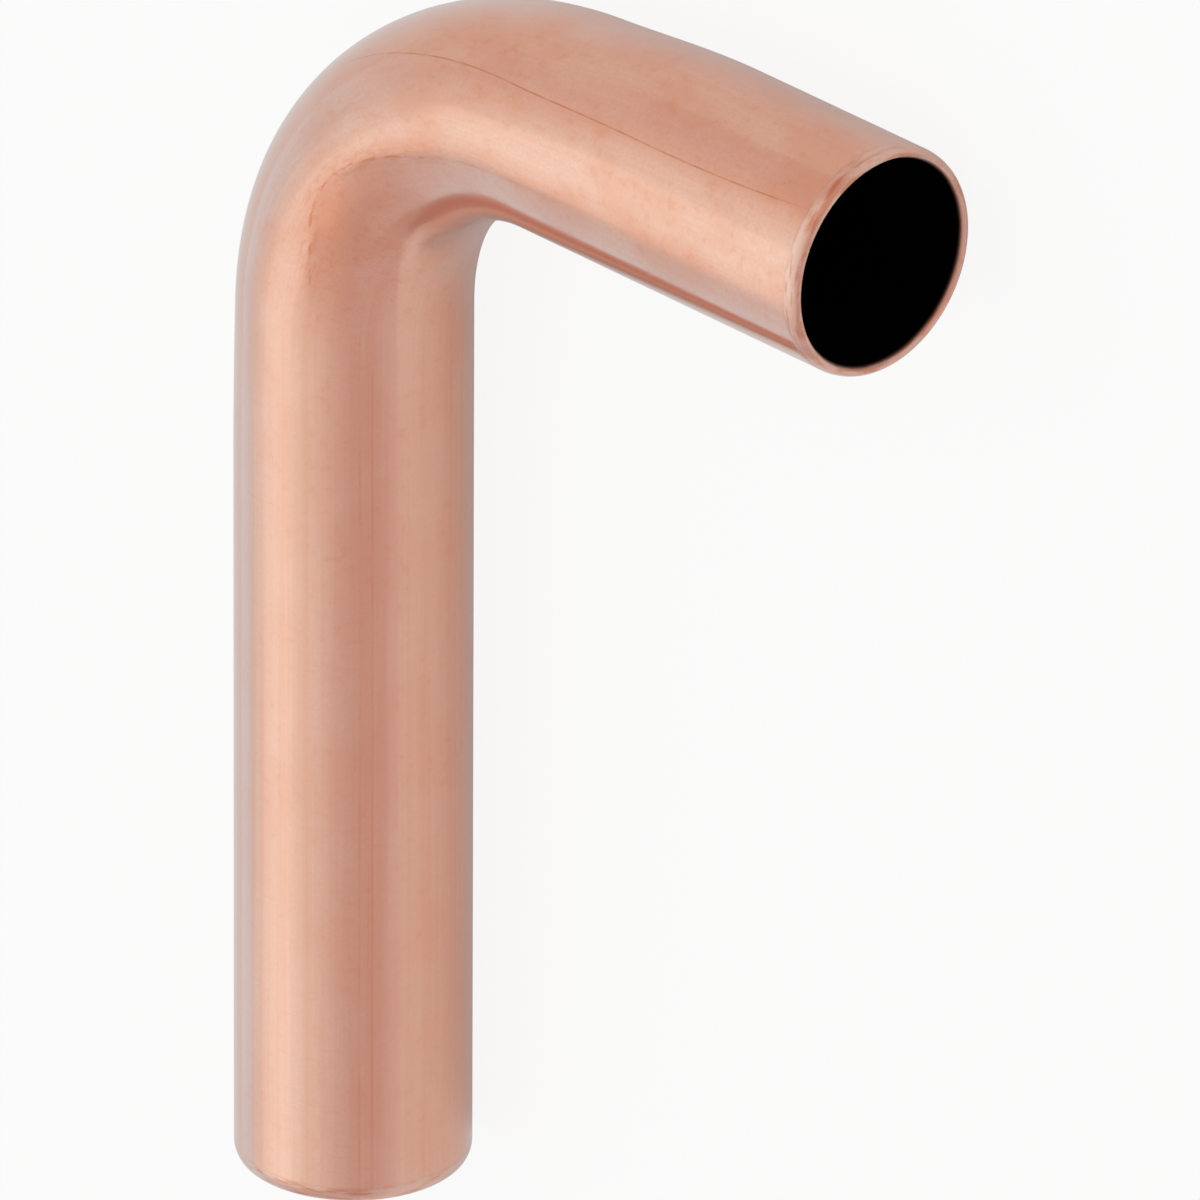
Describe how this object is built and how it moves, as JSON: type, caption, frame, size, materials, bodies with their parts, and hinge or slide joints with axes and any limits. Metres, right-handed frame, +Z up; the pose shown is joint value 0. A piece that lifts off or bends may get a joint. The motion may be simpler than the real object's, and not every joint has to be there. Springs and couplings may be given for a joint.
{
  "type": "press bend",
  "caption": "Copper tube bent square, with a long leg and a short arm, and plain round ends that press sockets slide over.",
  "frame": {"origin": "on the surface that the bend lies on, under the middle of its outline", "axes": "+X along the long leg from its free end to the bend, the short arm points to -Y, +Z up and square to the plane of the bend"},
  "size_m": [0.1274, 0.0808, 0.022],
  "materials": {
    "copper": "satin drawn copper, unlacquered"
  },
  "bodies": {
    "root": {"bent_tube": "copper"}
  },
  "joints": []
}
